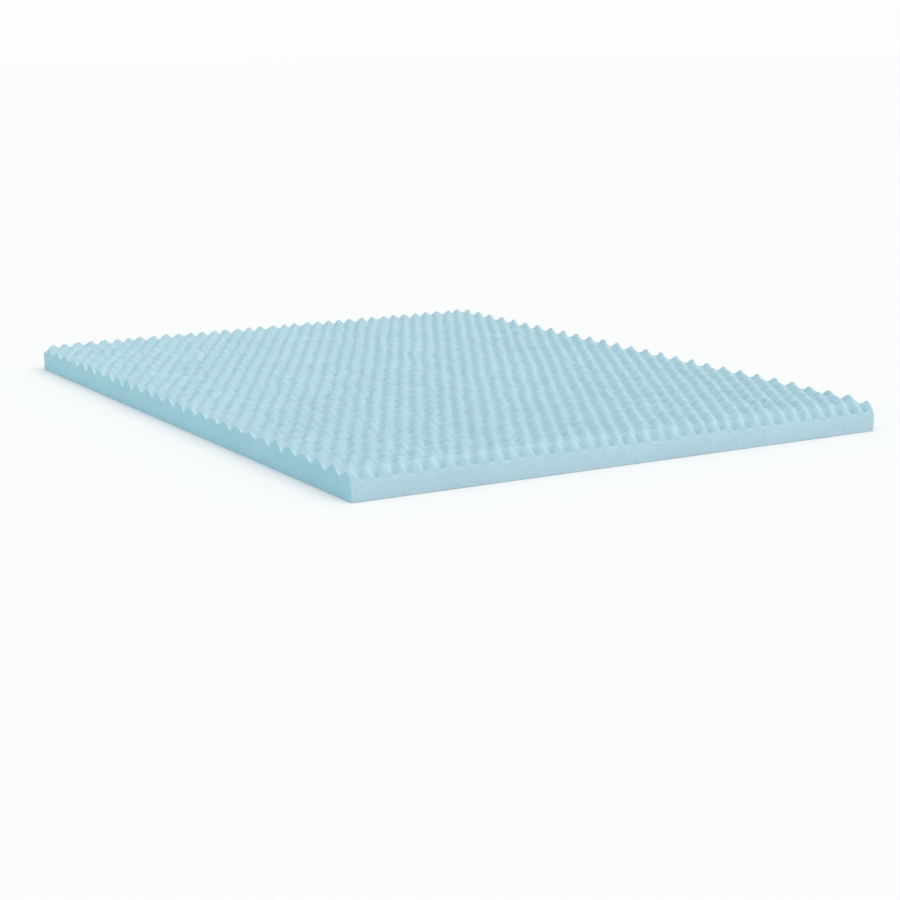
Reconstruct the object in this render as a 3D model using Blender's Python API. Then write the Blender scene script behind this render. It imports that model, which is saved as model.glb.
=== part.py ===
"""Egg-crate mattress topper: one slab of pale blue foam with a flat underside.

Metres, +Z up. The origin is the middle of the underside; X runs across the bed and Y along it.
"""

import math

import bmesh
import bpy

for old in list(bpy.data.objects):
    bpy.data.objects.remove(old, do_unlink=True)

# The slab
WIDTH = 1.3716  # 54 in, across the bed
LENGTH = 1.905  # 75 in, along the bed
PEAK_HEIGHT = 0.075  # underside to the tip of a peak
SADDLE_HEIGHT = 0.065  # underside to the low place between two neighbouring peaks
PIT_HEIGHT = 0.047  # underside to the bottom of a pit
LOW_ROW_DROP = 0.0035  # every other row lies this much lower
SHARPNESS = 1.3  # more than 1 draws the peaks and the pits in

# The egg-crate pattern: rows of peaks and pits in turn, each row half a pitch on from the last
COLUMN_STEP = 0.01892  # peak to pit across the bed, so about 36 peaks in a row
ROW_STEP = 0.0341  # peak to pit along the bed, so about 28 peaks in a column
LEFT_MARGIN = 0.0065  # side cut to the first column, so that the cut opens the pits beside it
FRONT_MARGIN = 0.019  # end cut to the first row: half way down the peaks, so it is nearly level

# The top falls away towards the front cut, and a little towards the left one
FRONT_FALL = 0.021  # how much lower it lies at the cut itself
FRONT_FALL_DEPTH = 0.045  # how far in from the cut the fall begins
LEFT_FALL = 0.006
LEFT_FALL_DEPTH = 0.02

FOAM_COLOUR = (0.45, 0.65, 0.73, 1.0)
FOAM_ROUGHNESS = 0.92


def height(x, y):
    """Height of the top surface at a place measured from the near left corner."""
    across = math.cos(math.pi * (x - LEFT_MARGIN) / COLUMN_STEP)
    along = math.cos(math.pi * (y - FRONT_MARGIN) / ROW_STEP)
    wave = across * along  # 1 on a peak, 0 on a saddle and -1 in a pit
    reach = PEAK_HEIGHT - SADDLE_HEIGHT if wave > 0.0 else PIT_HEIGHT - SADDLE_HEIGHT
    cut = SADDLE_HEIGHT + reach * abs(wave) ** SHARPNESS - LOW_ROW_DROP * (0.5 - 0.5 * along)
    front_fall = FRONT_FALL * max(1.0 - y / FRONT_FALL_DEPTH, 0.0) ** 2
    left_fall = LEFT_FALL * max(1.0 - x / LEFT_FALL_DEPTH, 0.0) ** 2
    return cut - max(front_fall, left_fall)


def grid_lines(size, first, step):
    """Both edges, and each line of peaks and pits between them."""
    count = math.floor((size - first) / step) + 1
    return [0.0] + [first + i * step for i in range(count)] + [size]


def add_top(bm, across, along):
    """Points at the peaks and pits only, with straight ridges over the saddles between peaks."""
    rows = []
    for y in along:
        rows.append([bm.verts.new((x - WIDTH / 2, y - LENGTH / 2, height(x, y))) for x in across])
    for near, far in zip(rows, rows[1:]):
        for i in range(len(across) - 1):
            a, b, c, d = near[i], near[i + 1], far[i + 1], far[i]
            if a.co.z + c.co.z > b.co.z + d.co.z:
                triangles = (a, b, c), (a, c, d)
            else:
                triangles = (a, b, d), (b, c, d)
            for corners in triangles:
                bm.faces.new(corners)


def add_sides_and_underside(bm):
    """Upright cut sides down from the rim, and a flat underside."""
    rim = [edge for edge in bm.edges if edge.is_boundary]
    sides = bmesh.ops.extrude_edge_only(bm, edges=rim)["geom"]
    for vert in sides:
        if isinstance(vert, bmesh.types.BMVert):
            vert.co.z = 0.0
    lower_rim = [edge for edge in bm.edges if edge.is_boundary]
    underside = bmesh.ops.edgeloop_fill(bm, edges=lower_rim)["faces"]
    bmesh.ops.poke(bm, faces=underside)


def foam_material():
    material = bpy.data.materials.new("foam")
    material.use_nodes = True
    shader = material.node_tree.nodes["Principled BSDF"]
    shader.inputs["Base Color"].default_value = FOAM_COLOUR
    shader.inputs["Roughness"].default_value = FOAM_ROUGHNESS
    shader.inputs["Metallic"].default_value = 0.0
    return material


def foam_slab():
    bm = bmesh.new()
    across = grid_lines(WIDTH, LEFT_MARGIN, COLUMN_STEP)
    along = grid_lines(LENGTH, FRONT_MARGIN, ROW_STEP)
    add_top(bm, across, along)
    add_sides_and_underside(bm)
    bmesh.ops.recalc_face_normals(bm, faces=bm.faces)
    mesh = bpy.data.meshes.new("foam_slab")
    bm.to_mesh(mesh)
    bm.free()
    mesh.materials.append(foam_material())
    slab = bpy.data.objects.new("foam_slab", mesh)
    bpy.context.collection.objects.link(slab)


foam_slab()
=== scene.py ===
"""Egg-crate mattress topper of pale blue foam, dressed for the studio.

Metres, +Z up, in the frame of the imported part: X runs across the slab and Y along it.
"""

import math

import bmesh
import bpy
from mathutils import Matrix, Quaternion, Vector, noise


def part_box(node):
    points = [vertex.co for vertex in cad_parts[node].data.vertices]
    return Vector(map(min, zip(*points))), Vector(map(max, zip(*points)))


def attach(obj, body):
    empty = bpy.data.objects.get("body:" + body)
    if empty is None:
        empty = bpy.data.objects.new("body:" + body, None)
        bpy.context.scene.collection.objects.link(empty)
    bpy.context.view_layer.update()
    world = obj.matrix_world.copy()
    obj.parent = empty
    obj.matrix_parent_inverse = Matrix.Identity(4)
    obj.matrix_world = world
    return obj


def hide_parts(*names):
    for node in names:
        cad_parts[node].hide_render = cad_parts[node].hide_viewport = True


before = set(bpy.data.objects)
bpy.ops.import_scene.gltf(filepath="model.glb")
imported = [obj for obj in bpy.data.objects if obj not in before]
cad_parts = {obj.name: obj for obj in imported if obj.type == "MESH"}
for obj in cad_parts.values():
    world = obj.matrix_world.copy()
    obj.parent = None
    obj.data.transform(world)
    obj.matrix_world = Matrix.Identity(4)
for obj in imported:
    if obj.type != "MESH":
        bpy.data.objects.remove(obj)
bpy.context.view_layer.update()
scene = bpy.context.scene


# ---- Camera -------------------------------------------------------------------------------
# A camera on a stand off the slab's near left corner, less than a metre up. It is turned 30
# degrees to the right and looks slightly down, on the front cut, the left cut and the top.

CAMERA_PLACE = Vector((-2.3682, -4.2628, 0.8930))
CAMERA_TURN = math.radians(29.968)  # right of the slab's length
CAMERA_TILT = math.radians(11.968)  # below the level
CAMERA_ROLL = math.radians(-0.43)  # the camera isn't quite level
CAMERA_REACH = 200.0  # past the far edge of the floor
LENS = 76.6  # mm, on a 36 mm sensor


def heading(turn, fall):
    """Direction so far right of the slab's length, and so far below the level."""
    return Vector(
        (
            math.sin(turn) * math.cos(fall),
            math.cos(turn) * math.cos(fall),
            -math.sin(fall),
        )
    )


camera = bpy.data.objects.new("camera", bpy.data.cameras.new("camera"))
camera.data.lens = LENS
camera.data.clip_end = CAMERA_REACH
camera.location = CAMERA_PLACE
level_view = heading(CAMERA_TURN, CAMERA_TILT).to_track_quat("-Z", "Y")
roll = Quaternion((0.0, 0.0, 1.0), CAMERA_ROLL)
camera.rotation_euler = (level_view @ roll).to_euler()
scene.collection.objects.link(camera)
scene.camera = camera


# ---- Studio floor -------------------------------------------------------------------------
# A wide matt white floor that the slab lies flat on. It runs on to the horizon, so that no
# edge or corner of the studio shows behind the foam.

FLOOR_HALF = 90.0
FLOOR_DROP = 0.0004  # below the underside, so that the two faces don't fight
FLOOR_COLOUR = (0.99, 0.965, 0.965, 1.0)
FLOOR_ROUGHNESS = 0.95
FLOOR_GLOSS = 0.1


def plug(tree, node, inputs):
    """Sets a node's inputs, or links them where the value is another node's output."""
    for socket, value in inputs.items():
        if isinstance(value, bpy.types.NodeSocket):
            tree.links.new(value, node.inputs[socket])
        else:
            node.inputs[socket].default_value = value


bm = bmesh.new()
bmesh.ops.create_grid(bm, x_segments=2, y_segments=2, size=FLOOR_HALF)
bmesh.ops.translate(bm, verts=bm.verts, vec=(0.0, 0.0, -FLOOR_DROP))
floor_mesh = bpy.data.meshes.new("studio_floor")
bm.to_mesh(floor_mesh)
bm.free()
floor_paint = bpy.data.materials.new("floor_paint")
floor_paint.use_nodes = True
plug(
    floor_paint.node_tree,
    floor_paint.node_tree.nodes["Principled BSDF"],
    {
        "Base Color": FLOOR_COLOUR,
        "Roughness": FLOOR_ROUGHNESS,
        "Specular IOR Level": FLOOR_GLOSS,
    },
)
floor_mesh.materials.append(floor_paint)
studio_floor = bpy.data.objects.new("studio_floor", floor_mesh)
scene.collection.objects.link(studio_floor)


# ---- Studio light -------------------------------------------------------------------------
# White walls all round give an even light. A very large soft box far off to the front right
# lights the front cut as much as the top, and leaves the left cut in soft shade.

WALL_LIGHT = (0.90, 0.99, 1.01, 1.0)
WALL_STRENGTH = 0.80
BACKDROP = (0.975, 0.985, 0.985, 1.0)  # what the camera sees past the floor
SOFT_BOX_TURN = math.radians(25.0)  # right of the slab's length, seen from the front
SOFT_BOX_RISE = math.radians(55.0)
SOFT_BOX_SPREAD = 0.9  # rad, how large it looks from the slab
SOFT_BOX_STRENGTH = 1.0
SOFT_BOX_COLOUR = (1.0, 0.88, 0.82)


def add_node(tree, kind, inputs, **modes):
    """New node. Its modes are set before its inputs, because they choose which it has."""
    node = tree.nodes.new(kind)
    for mode, choice in modes.items():
        setattr(node, mode, choice)
    plug(tree, node, inputs)
    return node


studio_walls = bpy.data.worlds.new("studio_walls")
studio_walls.use_nodes = True
walls = studio_walls.node_tree
walls.nodes.clear()
wall_light = add_node(
    walls, "ShaderNodeBackground", {"Color": WALL_LIGHT, "Strength": WALL_STRENGTH}
)
wall_seen = add_node(walls, "ShaderNodeBackground", {"Color": BACKDROP})
wall_ray = add_node(walls, "ShaderNodeLightPath", {})
wall_mix = add_node(
    walls,
    "ShaderNodeMixShader",
    {
        "Fac": wall_ray.outputs["Is Camera Ray"],
        1: wall_light.outputs["Background"],
        2: wall_seen.outputs["Background"],
    },
)
add_node(walls, "ShaderNodeOutputWorld", {"Surface": wall_mix.outputs["Shader"]})
scene.world = studio_walls

soft_box_light = bpy.data.lights.new("soft_box", "SUN")
soft_box_light.angle = SOFT_BOX_SPREAD
soft_box_light.energy = SOFT_BOX_STRENGTH
soft_box_light.color = SOFT_BOX_COLOUR
soft_box = bpy.data.objects.new("soft_box", soft_box_light)
shining = heading(-SOFT_BOX_TURN, SOFT_BOX_RISE)
soft_box.rotation_euler = shining.to_track_quat("-Z", "Y").to_euler()
scene.collection.objects.link(soft_box)
scene.view_settings.view_transform = "Standard"


# ---- Foam slab ----------------------------------------------------------------------------
# One slab of soft open-cell polyurethane foam, pale blue right through. A roller press and a
# blade cut its top into rounded peaks and pits, and a saw cuts the sides and underside flat.

slab_low, slab_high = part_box("foam_slab")
WIDTH, LENGTH, PEAK_HEIGHT = slab_high - slab_low

# the rows of peaks and pits in turn, each row half a pitch on from the last
SADDLE_HEIGHT = 0.065  # the low place between two neighbouring peaks
PIT_HEIGHT = 0.047  # the bottom of a pit
LOW_ROW_DROP = 0.0035  # every other row lies this much lower
SHARPNESS = 1.3  # more than 1 draws the peaks and the pits in
COLUMN_STEP = 0.01892  # peak to pit across the slab
ROW_STEP = 0.0341  # peak to pit along the slab
LEFT_MARGIN = 0.0065  # side cut to the first column
FRONT_MARGIN = 0.019  # end cut to the first row
FRONT_FALL = 0.021  # how much lower the top lies at the front cut
FRONT_FALL_DEPTH = 0.045  # how far in from the cut the fall begins
LEFT_FALL = 0.006  # the same at the left cut, which is fainter
LEFT_FALL_DEPTH = 0.02

# how the cut strays: the reach, the waves a metre across and along, and the layer of noise
SWAY = (0.004, 6.0, 6.0, 1.3)  # the ridges all together, sideways
WOBBLE = (0.006, 22.0, 14.0, 5.5)  # each ridge by itself, sideways
DRIFT = (0.0012, 9.0, 9.0, 3.7)  # the blade up and down, over a hand's breadth
TEAR = (0.003, 46.0, 46.0, 8.1)  # the blade up and down, from one peak to the next
STEADY_EDGE = 0.06  # the wobble dies away this close to the left cut
TIP_ROUNDING = 0.002  # the tips are rounded off over this height

CUTS_PER_COLUMN = 4  # mesh lines from peak to pit across the slab
CUTS_PER_ROW = 5  # and along it
GRID_HALF = 0.5  # the plain grid is 1 wide, until its points go to their places
HAIR = 1e-6  # points closer than this are in one place
EDGE_WEAR = 0.0012  # the saw leaves the edges a little rounded
EDGE_ROUNDS = 2  # faces round each edge
EDGE_ROOM = 0.0025  # the rounding needs this much flat beside it
TOP_FINISH, END_FINISH, SIDE_PAINTED_SHADE = range(3)  # the slab's materials, in order; the sides' is the ends' foam with painted shade


def foam_height(x, y):
    """Height of the top at a place measured from the slab's middle."""
    across = math.cos(math.pi * (x + WIDTH / 2 - LEFT_MARGIN) / COLUMN_STEP)
    along = math.cos(math.pi * (y + LENGTH / 2 - FRONT_MARGIN) / ROW_STEP)
    wave = across * along  # 1 on a peak, 0 on a saddle and -1 in a pit
    reach = PEAK_HEIGHT - SADDLE_HEIGHT if wave > 0.0 else PIT_HEIGHT - SADDLE_HEIGHT
    cut = SADDLE_HEIGHT + reach * abs(wave) ** SHARPNESS - LOW_ROW_DROP * (0.5 - 0.5 * along)
    front_fall = FRONT_FALL * max(1.0 - (y + LENGTH / 2) / FRONT_FALL_DEPTH, 0.0) ** 2
    left_fall = LEFT_FALL * max(1.0 - (x + WIDTH / 2) / LEFT_FALL_DEPTH, 0.0) ** 2
    return cut - max(front_fall, left_fall)


def stray(kind, x, y):
    """How far the cut strays at a place, to either side of where it should be."""
    reach, across, along, layer = kind
    return reach * noise.noise(Vector((x * across, y * along, layer)))


def foam_surface(x, y):
    """The same height, with the strays of the cut, and the tips rounded off."""
    steady = min((x + WIDTH / 2) / STEADY_EDGE, 1.0)
    sideways = stray(SWAY, x, y) + steady * stray(WOBBLE, x, y)
    top = foam_height(x + sideways, y) + stray(DRIFT, x, y) + stray(TEAR, x, y)
    over = top - (PEAK_HEIGHT - TIP_ROUNDING)
    if over > 0.0:
        top = PEAK_HEIGHT - TIP_ROUNDING * math.exp(-over / TIP_ROUNDING)
    return top


def mesh_lines(size, first, spacing):
    """Both edges, and lines between them with one on every row of peaks and pits."""
    start = first % spacing
    lines = [start + i * spacing for i in range(math.floor((size - start) / spacing) + 1)]
    return [0.0] + [line for line in lines if EDGE_ROOM < line < size - EDGE_ROOM] + [size]


across = mesh_lines(WIDTH, LEFT_MARGIN, COLUMN_STEP / CUTS_PER_COLUMN)
along = mesh_lines(LENGTH, FRONT_MARGIN, ROW_STEP / CUTS_PER_ROW)
columns, rows = len(across) - 1, len(along) - 1
bm = bmesh.new()
bmesh.ops.create_grid(bm, x_segments=columns, y_segments=rows, size=GRID_HALF)
for vert in bm.verts:
    x = across[round((vert.co.x + GRID_HALF) * columns)] - WIDTH / 2
    y = along[round((vert.co.y + GRID_HALF) * rows)] - LENGTH / 2
    vert.co = (x, y, foam_surface(x, y))
for face in bm.faces:
    face.smooth = True
    face.material_index = TOP_FINISH

# the four cut sides, down from the rim, and the underside
rim = [edge for edge in bm.edges if edge.is_boundary]
for part in bmesh.ops.extrude_edge_only(bm, edges=rim)["geom"]:
    if isinstance(part, bmesh.types.BMVert):
        part.co.z = 0.0
    if isinstance(part, bmesh.types.BMFace):
        # the left and right cuts take the darker copy, painted shade
        on_end = abs(part.calc_center_median().y) > LENGTH / 2 - EDGE_WEAR
        part.material_index = END_FINISH if on_end else SIDE_PAINTED_SHADE
lower_rim = [edge for edge in bm.edges if edge.is_boundary]
for face in bmesh.ops.edgeloop_fill(bm, edges=lower_rim)["faces"]:
    face.material_index = END_FINISH
bmesh.ops.recalc_face_normals(bm, faces=bm.faces)

# the worn edges: both rims, and the four upright corners
corners = [
    edge
    for edge in bm.edges
    if abs(edge.verts[0].co.x) > WIDTH / 2 - HAIR
    and abs(edge.verts[0].co.y) > LENGTH / 2 - HAIR
    and (edge.verts[0].co.xy - edge.verts[1].co.xy).length < HAIR
]
bmesh.ops.bevel(
    bm,
    geom=rim + lower_rim + corners,
    offset=EDGE_WEAR,
    affect="EDGES",
    segments=EDGE_ROUNDS,
    profile=0.5,
    material=-1,
)
slab_mesh = bpy.data.meshes.new("foam_slab_soft")
bm.to_mesh(slab_mesh)
bm.free()
foam_slab = bpy.data.objects.new("foam_slab_soft", slab_mesh)
scene.collection.objects.link(foam_slab)

# the foam's finish: light goes a few millimetres into it, and it has hardly any gloss
FOAM_GLOSS = 0.2
LIGHT_DEPTH = 0.006
LIGHT_DEPTH_BY_COLOUR = (1.0, 1.0, 1.0)  # red, green and blue go equally deep
FRONT_NO_PAINTED_LIGHT_DEPTH = 0.035  # the low front rim has the tips' colour this far in, without the pits' painted light
CUT_PAINTED_LIGHT_HEIGHT = 0.05  # the cut sides have their upper colour from here up; below they are painted a touch lighter, painted light against the floor's shade
PATCHES = {"Scale": 7.0, "Detail": 3.0}  # Scale is in waves a metre, here and below
PATCH_SHADES = {"To Min": 0.95, "To Max": 1.05}
CRUMB = {"Scale": 240.0, "Detail": 4.0, "Roughness": 0.65}
CRUMB_SHADES = {"From Min": 0.3, "From Max": 0.7, "To Min": 0.93, "To Max": 1.06}
CELLS = {"Scale": 620.0}
CELL_ROUGHNESS = {"From Max": 0.6, "To Min": 0.96, "To Max": 0.86}
LUMPS = {"Scale": 70.0, "Detail": 2.0}
LUMP_RELIEF = {"Distance": 0.0025, "Strength": 0.5}
CRUMB_RELIEF = {"Distance": 0.0012, "Strength": 0.6}
CELL_RELIEF = {"Distance": 0.0005, "Strength": 0.5}
FOAM_COLOURS_AND_PAINTED_SHADING = (  # name, upper colour, lower colour, lower height, upper height
    (
        "foam_top_painted_light",
        (0.43, 0.625, 0.70, 1.0),
        # painted light: the pits lighter than the tips, to lift the shade in them
        (0.60, 0.79, 0.86, 1.0),
        PIT_HEIGHT,
        PEAK_HEIGHT - TIP_ROUNDING,
    ),
    # the end cuts and underside; a touch lighter low down, painted light against the floor's
    # shade
    ("foam_end", (0.49, 0.66, 0.74, 1.0), (0.50, 0.67, 0.75, 1.0), 0.0, CUT_PAINTED_LIGHT_HEIGHT),
    # the side cuts: the end cuts' foam painted darker and more saturated, as painted shade; also
    # a touch lighter low down, as painted light
    ("foam_side_painted_shade", (0.365, 0.625, 0.722, 1.0), (0.375, 0.635, 0.732, 1.0), 0.0, CUT_PAINTED_LIGHT_HEIGHT),
)


def foam_look_and_painted_light(name, upper, lower, lower_height, upper_height):
    """Matt open-cell foam that changes a little from its lower colour to its upper one; the
    lighter lower colour is painted light where shade falls.
    """
    material = bpy.data.materials.new(name)
    material.use_nodes = True
    tree = material.node_tree
    place = add_node(tree, "ShaderNodeTexCoord", {}).outputs["Object"]

    # a pit has the lower colour and a tip the upper one, as the low front rim does; the lower
    # colour is painted light, lighter to lift the shade in the pits and low down on the cuts
    parts = add_node(tree, "ShaderNodeSeparateXYZ", {"Vector": place})
    height = {"From Min": lower_height, "From Max": upper_height}
    front = {"From Min": -LENGTH / 2 + FRONT_NO_PAINTED_LIGHT_DEPTH, "From Max": -LENGTH / 2}
    rise = add_node(tree, "ShaderNodeMapRange", {"Value": parts.outputs["Z"], **height})
    near = add_node(tree, "ShaderNodeMapRange", {"Value": parts.outputs["Y"], **front})
    either = add_node(
        tree,
        "ShaderNodeMath",
        {0: rise.outputs["Result"], 1: near.outputs["Result"]},
        operation="MAXIMUM",
    )
    tone_with_painted_light = add_node(
        tree,
        "ShaderNodeMix",
        {"Factor": either.outputs["Value"], "A": lower, "B": upper},
        data_type="RGBA",
    )

    # the mix of the foam is a little darker and lighter in broad patches, and in its crumb
    patches = add_node(tree, "ShaderNodeTexNoise", {"Vector": place, **PATCHES})
    crumb = add_node(tree, "ShaderNodeTexNoise", {"Vector": place, **CRUMB})
    patch_shade = add_node(
        tree, "ShaderNodeMapRange", {"Value": patches.outputs["Fac"], **PATCH_SHADES}
    )
    crumb_shade = add_node(
        tree, "ShaderNodeMapRange", {"Value": crumb.outputs["Fac"], **CRUMB_SHADES}
    )
    shade = add_node(
        tree,
        "ShaderNodeMath",
        {0: patch_shade.outputs["Result"], 1: crumb_shade.outputs["Result"]},
        operation="MULTIPLY",
    )
    dyed = add_node(
        tree,
        "ShaderNodeVectorMath",
        {0: tone_with_painted_light.outputs["Result"], "Scale": shade.outputs["Value"]},
        operation="SCALE",
    )

    # open cells, 1 to 2 mm across, a little less matt on the walls between them
    cells = add_node(tree, "ShaderNodeTexVoronoi", {"Vector": place, **CELLS})
    matt = add_node(
        tree, "ShaderNodeMapRange", {"Value": cells.outputs["Distance"], **CELL_ROUGHNESS}
    )

    # soft lumps, with the crumb and the cells in relief on them
    lumps = add_node(tree, "ShaderNodeTexNoise", {"Vector": place, **LUMPS})
    lumpy = add_node(tree, "ShaderNodeBump", {"Height": lumps.outputs["Fac"], **LUMP_RELIEF})
    crumbly = add_node(
        tree,
        "ShaderNodeBump",
        {"Height": crumb.outputs["Fac"], "Normal": lumpy.outputs["Normal"], **CRUMB_RELIEF},
    )
    porous = add_node(
        tree,
        "ShaderNodeBump",
        {"Height": cells.outputs["Distance"], "Normal": crumbly.outputs["Normal"], **CELL_RELIEF},
    )
    plug(
        tree,
        tree.nodes["Principled BSDF"],
        {
            "Base Color": dyed.outputs["Vector"],
            "Roughness": matt.outputs["Result"],
            "Normal": porous.outputs["Normal"],
            "Specular IOR Level": FOAM_GLOSS,
            "Subsurface Weight": 1.0,
            "Subsurface Radius": LIGHT_DEPTH_BY_COLOUR,
            "Subsurface Scale": LIGHT_DEPTH,
        },
    )
    return material


for finish in FOAM_COLOURS_AND_PAINTED_SHADING:
    foam_slab.data.materials.append(foam_look_and_painted_light(*finish))

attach(foam_slab, "root")
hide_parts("foam_slab")
